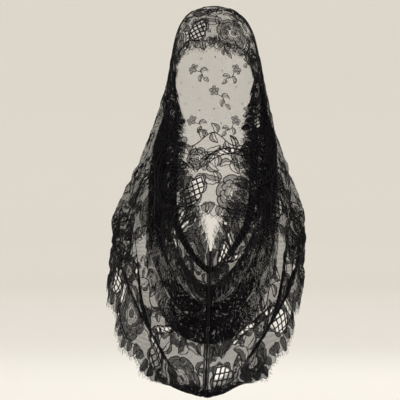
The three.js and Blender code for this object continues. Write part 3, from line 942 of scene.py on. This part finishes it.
def solid_threads(tree, x, y, gather):
    """1 on the threads of the diagonal weave that fills the solid parts."""
    ways = []
    for way in ("ADD", "SUBTRACT"):
        slant = node(tree, "ShaderNodeMath", {"operation": way}, {0: x, 1: y})
        count = node(tree, "ShaderNodeMath", {"operation": "DIVIDE"}, {0: slant, 1: WEAVE_PITCH})
        ways.append(node(tree, "ShaderNodeMath", {"operation": "PINGPONG"}, {0: count, 1: 0.5}))
    nearest = node(tree, "ShaderNodeMath", {"operation": "MINIMUM"}, {0: ways[0], 1: ways[1]})
    return thread_mask(tree, gather, nearest, WEAVE_THREAD, WEAVE_GATHERED, WEAVE_SOFT)


print("net thread", NET_THREAD, "mm loose and", NET_GATHERED, "mm where it is gathered")

# %% [markdown]
# The alpha of the sheet is the net, without it where the lattice is open, and the weave where the lace
# is solid. Silk net is a dull black: it is rough, shines little, and varies a little in shade.

# %% Finish the net
LATTICE_RIM = 0.4
LATTICE_CLOSES = 4.0
SHADES_PER_MM = 0.02


def lace_material():
    """The net, its solid work and its open lattice, cut out by alpha."""
    made, tree, shader = new_material("silk_bobbinet")
    uv_node = node(tree, "ShaderNodeUVMap", {"uv_map": "OFBake"})
    flat_mm = node(tree, "ShaderNodeVectorMath", {"operation": "SCALE"}, {0: uv_node, "Scale": longest})
    split = node(tree, "ShaderNodeSeparateXYZ", None, {0: flat_mm})
    x, y = split.outputs[0], split.outputs[1]
    gather, solid, lattice = [node(tree, "ShaderNodeAttribute", {"attribute_name": name}).outputs["Fac"]
                              for name in ("gather", "solid", "lattice")]
    in_solid = node(tree, "ShaderNodeMath", {"operation": "GREATER_THAN"}, {0: solid, 1: 0.0})
    rim = node(tree, "ShaderNodeMath", {"operation": "MULTIPLY_ADD"},
               {0: gather, 1: LATTICE_CLOSES, 2: LATTICE_RIM})
    opened = node(tree, "ShaderNodeMath", {"operation": "GREATER_THAN"}, {0: lattice, 1: rim})
    closed = node(tree, "ShaderNodeMath", {"operation": "SUBTRACT"}, {0: 1.0, 1: opened})
    kept_net = node(tree, "ShaderNodeMath", {"operation": "MULTIPLY"},
                    {0: net_threads(tree, x, y, gather), 1: closed})
    alpha = node(tree, "ShaderNodeMix", {"data_type": "FLOAT"},
                 {"Factor": in_solid, 2: kept_net, 3: solid_threads(tree, x, y, gather)})
    tree.links.new(alpha.outputs[0], shader.inputs["Alpha"])
    shade = node(tree, "ShaderNodeTexNoise", None,
                 {"Vector": flat_mm, "Scale": SHADES_PER_MM, "Detail": 3.0})
    tint = node(tree, "ShaderNodeMix", {"data_type": "RGBA"},
                {"Factor": shade.outputs["Fac"], 6: linear("#060507"), 7: linear("#0C0A0E")})
    tree.links.new(tint.outputs[2], shader.inputs["Base Color"])
    shader.inputs["Roughness"].default_value = 0.75
    shader.inputs["Specular IOR Level"].default_value = 0.06
    shader.inputs["Sheen Weight"].default_value = 0.02
    shader.inputs["Sheen Roughness"].default_value = 0.4
    relief = node(tree, "ShaderNodeBump", None, {"Strength": 0.35, "Distance": 0.4 * MM, "Height": alpha})
    tree.links.new(relief.outputs[0], shader.inputs["Normal"])
    return made


net.data.materials.clear()
net.data.materials.append(lace_material())
print("net drawn with holes of", NET_PITCH, "mm")

# %% [markdown]
# ## The outline threads
# Chantilly-style lace outlines every motif with a thicker untwisted silk thread, which lies on the
# face of the lace and catches the light. Each is a fine three-sided ridge along its drawn line: a flat
# foot on the net and a crest above it, closed at its ends. It is copied for the eight repeats.

# %% Make one thread
STEP = 3.6


def spaced(points, step):
    """A drawn line with points about one step apart, still on its curve."""
    scale = np.array([loop_length / REPEATS, cloth_width])
    lengths = np.linalg.norm(np.diff(points * scale, axis=0), axis=1)
    walked = np.concatenate([[0], np.cumsum(lengths)])
    count = max(2, int(round(walked[-1] / step)) + 1)
    where = np.linspace(0, walked[-1], count)
    return np.stack([np.interp(where, walked, points[:, axis]) for axis in range(2)], 1)


def ridge(places, normals, thick):
    """Vertices and faces of one closed three-sided thread."""
    along = unit(np.gradient(places, axis=0))
    sideways = unit(np.cross(normals, along))
    taper = np.full(len(places), 1.0)
    taper[0] = taper[-1] = 0.35
    half = (thick * MM / 2 * taper)[:, None]
    low = places + normals * 0.15 * MM
    points = np.stack([low - sideways * half, low + sideways * half, low + normals * half * 1.1], 1)
    n = len(places)
    i = np.arange(n - 1)[:, None] * 3
    ring = np.array([[0, 3, 4, 1], [1, 4, 5, 2], [2, 5, 3, 0]])
    quads = (i[:, :, None] + ring[None]).reshape(-1, 4)
    return points.reshape(-1, 3), quads, np.array([[0, 1, 2], [3 * n - 1, 3 * n - 2, 3 * n - 3]])


print("threads have a point every", STEP, "mm")

# %% [markdown]
# The threads are sewn on in three pieces: those of the face border, those of the plain field, and those
# of the hem border. Each piece is one mesh, which keeps it light enough to hold all its threads.

# %% Sew the threads on
SEAM_GAP = 0.0025
FACE_BORDER_ENDS = 0.25


def sew(name, lines):
    """One piece from many threads, in all the repeats. No thread crosses the seam."""
    all_points, all_quads, all_ends, offset = [], [], [], 0
    for points, thick in lines:
        fine = spaced(points, STEP)
        for repeat in range(REPEATS):
            u = (fine[:, 0] + repeat) / REPEATS
            if u.min() < 0 and u.max() < 0.004:
                u = u + 1
            elif u.min() >= 1:
                u = u - 1
            inside = (u > SEAM_GAP) & (u < 1 - SEAM_GAP)
            if inside.sum() < 2:
                continue
            places, normals = hang(u[inside], fine[inside, 1])
            made, quads, ends = ridge(places, normals, thick)
            all_points.append(made)
            all_quads.append(quads + offset)
            all_ends.append(ends + offset)
            offset += len(made)
    mesh = bpy.data.meshes.new(name)
    faces = np.vstack(all_quads).tolist() + np.vstack(all_ends).tolist()
    mesh.from_pydata(np.vstack(all_points).tolist(), [], faces)
    mesh.update()
    made = bpy.data.objects.new(name, mesh)
    bpy.context.scene.collection.objects.link(made)
    print(name, "has", len(mesh.polygons), "faces")
    return made


from_face = [(points, thick) for points, thick, side in threads if side == "face"]
from_hem = [(points, thick) for points, thick, side in threads if side == "hem"]
in_border = [points[:, 1].max() < FACE_BORDER_ENDS for points, _ in from_face]
face_threads = sew("face_border_thread", [line for line, near in zip(from_face, in_border) if near])
field_threads = sew("field_thread", [line for line, near in zip(from_face, in_border) if not near])
hem_threads = sew("hem_border_thread", from_hem)

# %% [markdown]
# ## The eyelash fringe
# Along both scalloped edges the cut threads of the lace stand out as fine hairs, called eyelashes.
# They are the sign of this kind of lace. A firm thread runs along the edge and the hairs leave it.

# %% Edge thread and eyelashes
LASH_LENGTH = 8.0
LASH_PITCH = 2.0
LASH_THICK = 0.7
EDGE_THICK = 1.3
rng = np.random.default_rng(7)
edge_lines = []
for side in ("face", "hem"):
    k = np.linspace(0, 1, 71)
    deep = (notch(k) + 0.4) / cloth_width
    edge_lines.append((np.stack([k, deep if side == "face" else 1 - deep], 1), EDGE_THICK))


def lash_lines():
    """One repeat of eyelashes on both edges, in repeat places."""
    made = []
    for side in ("face", "hem"):
        tile = float(loop_at(0.02 if side == "face" else 0.98))
        for i in range(int(tile / LASH_PITCH)):
            k = (i + rng.uniform(0.2, 0.8)) * LASH_PITCH / tile
            deep = float(notch(k))
            slope = (float(notch(k + 0.01)) - float(notch(k - 0.01))) / (0.02 * tile)
            length = LASH_LENGTH * rng.uniform(0.55, 1.1)
            lean = rng.uniform(-0.35, 0.35) + 0.6 * slope
            foot = np.array([k, (deep + 0.5) / cloth_width])
            tip = np.array([k + lean * length / tile, (deep - length) / cloth_width])
            line = np.array([foot, (foot + tip) / 2 + [0.0012, 0], tip])
            if side == "hem":
                line[:, 1] = 1 - line[:, 1]
            made.append((line, LASH_THICK))
    return made


print("lashes in one repeat:", len(lash_lines()))
lashes = sew("eyelash_fringe", edge_lines + lash_lines())

# %% [markdown]
# ## Thread finish
# The outline thread and the lashes are silk floss: matt black with a soft sheen, and a twist of about
# 1 mm that shows only close up. Its colour is a touch lighter than the net, because it stands up into
# the light.

# %% The thread material
TWISTS_PER_METRE = 900.0


def thread_material(name, light, dark):
    """A matt thread with a fine twist of two shades."""
    made, tree, shader = new_material(name)
    place = node(tree, "ShaderNodeTexCoord")
    twist = node(tree, "ShaderNodeTexNoise", None,
                 {"Vector": place.outputs["Object"], "Scale": TWISTS_PER_METRE, "Detail": 1.0})
    tint = node(tree, "ShaderNodeMix", {"data_type": "RGBA"},
                {"Factor": twist.outputs["Fac"], 6: linear(dark), 7: linear(light)})
    tree.links.new(tint.outputs[2], shader.inputs["Base Color"])
    shader.inputs["Roughness"].default_value = 0.6
    shader.inputs["Specular IOR Level"].default_value = 0.12
    shader.inputs["Sheen Weight"].default_value = 0.03
    shader.inputs["Sheen Roughness"].default_value = 0.4
    return made


silk_floss = thread_material("silk_floss_outline", "#0F0D11", "#060507")
for piece in (face_threads, field_threads, hem_threads, lashes):
    piece.data.materials.append(silk_floss)
print("threads finished")

# %% [markdown]
# ## The front seam
# The two ends of the lace are rolled together and oversewn. The roll stands a little proud, and slanted
# stitches cross it every few millimetres. It stands for the seam of the solid model.

# %% Roll the seam
SEAM_HALF = 2.5
SEAM_RISE = 1.5
SEAM_ROWS = 240

seam_v = sheet_rows(0.0, np.linspace(0, 1, SEAM_ROWS))
middle, normal_a = hang(np.zeros(SEAM_ROWS), seam_v)
normal_b = hang(np.ones(SEAM_ROWS), seam_v)[1]
seam_normal = unit(normal_a + normal_b)
seam_along = unit(np.gradient(middle, axis=0))
seam_side = unit(np.cross(seam_normal, seam_along))
section = [(math.cos(a), math.sin(a)) for a in np.radians(np.arange(0, 360, 36))]
ring_points = []
puff = 1 + 0.12 * np.sin(np.arange(SEAM_ROWS) * 1.9)
for c, s in section:
    lift = SEAM_RISE * s if s > 0 else 0.5 * s
    ring_points.append(middle + (seam_side * SEAM_HALF * c + seam_normal * lift * puff[:, None]) * MM)
seam_points = np.stack(ring_points, 1).reshape(-1, 3)
sides = len(section)
faces = []
for j in range(SEAM_ROWS - 1):
    for k in range(sides):
        n = (k + 1) % sides
        faces.append((j * sides + k, j * sides + n, (j + 1) * sides + n, (j + 1) * sides + k))
faces.append(tuple(range(sides))[::-1])
faces.append(tuple((SEAM_ROWS - 1) * sides + k for k in range(sides)))
print("seam roll with", len(faces), "faces")

# %% [markdown]
# Oversewing carries one thread over the roll again and again. Each stitch is a short ridge that arches
# over the roll and slants along it. The thread is mercerised cotton, dyed as black as the lace, so the
# seam shows only as a raised line.

# %% Oversew the roll
STITCH_PITCH = 3.5
STITCH_SLANT = 1.3
STITCH_THICK = 0.9
STITCH_POINTS = 7

stitch_points, stitch_faces = [], []
offset = len(seam_points)
seam_walk = np.concatenate([[0], np.cumsum(np.linalg.norm(np.diff(middle, axis=0), axis=1))]) / MM
for start in np.arange(2.0, seam_walk[-1] - 3.0, STITCH_PITCH):
    line = []
    for c in np.linspace(-1, 1, STITCH_POINTS):
        j = np.interp(start + c * STITCH_SLANT, seam_walk, np.arange(SEAM_ROWS))
        low, part = int(j), j - int(j)
        high = min(low + 1, SEAM_ROWS - 1)
        base = middle[low] * (1 - part) + middle[high] * part
        rise = SEAM_RISE * math.sqrt(max(0.0, 1 - c * c)) + 0.15
        line.append(base + (seam_side[low] * SEAM_HALF * 1.02 * c + seam_normal[low] * rise) * MM)
    normals = np.repeat(seam_normal[low][None], STITCH_POINTS, 0)
    made, quads, ends = ridge(np.array(line), normals, STITCH_THICK)
    stitch_points.append(made)
    stitch_faces += (quads + offset).tolist() + (ends + offset).tolist()
    offset += len(made)
seam_mesh = bpy.data.meshes.new("front_seam_roll")
seam_mesh.from_pydata(np.vstack([seam_points] + stitch_points).tolist(), [], faces + stitch_faces)
seam_mesh.update()
seam = bpy.data.objects.new("front_seam_roll", seam_mesh)
bpy.context.scene.collection.objects.link(seam)
seam.data.materials.append(thread_material("mercerised_sewing_thread", "#0E0C10", "#060507"))
print("seam", round(float(seam_walk[-1])), "mm long with", len(stitch_points), "stitches")

# %% [markdown]
# ## What each piece stands for
# The net stands for the solid lace panel and the roll for the solid seam. The threads and lashes ride
# with them.

pieces = [net, face_threads, field_threads, hem_threads, lashes, seam]
for piece in pieces:
    for other in bpy.context.selected_objects:
        other.select_set(False)
    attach(piece, "root")
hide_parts("lace_panel")
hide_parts("front_seam")
bpy.context.scene.cycles.transparent_max_bounces = 64
bpy.context.scene.view_settings.view_transform = "Standard"
print(len(pieces), "pieces declared")
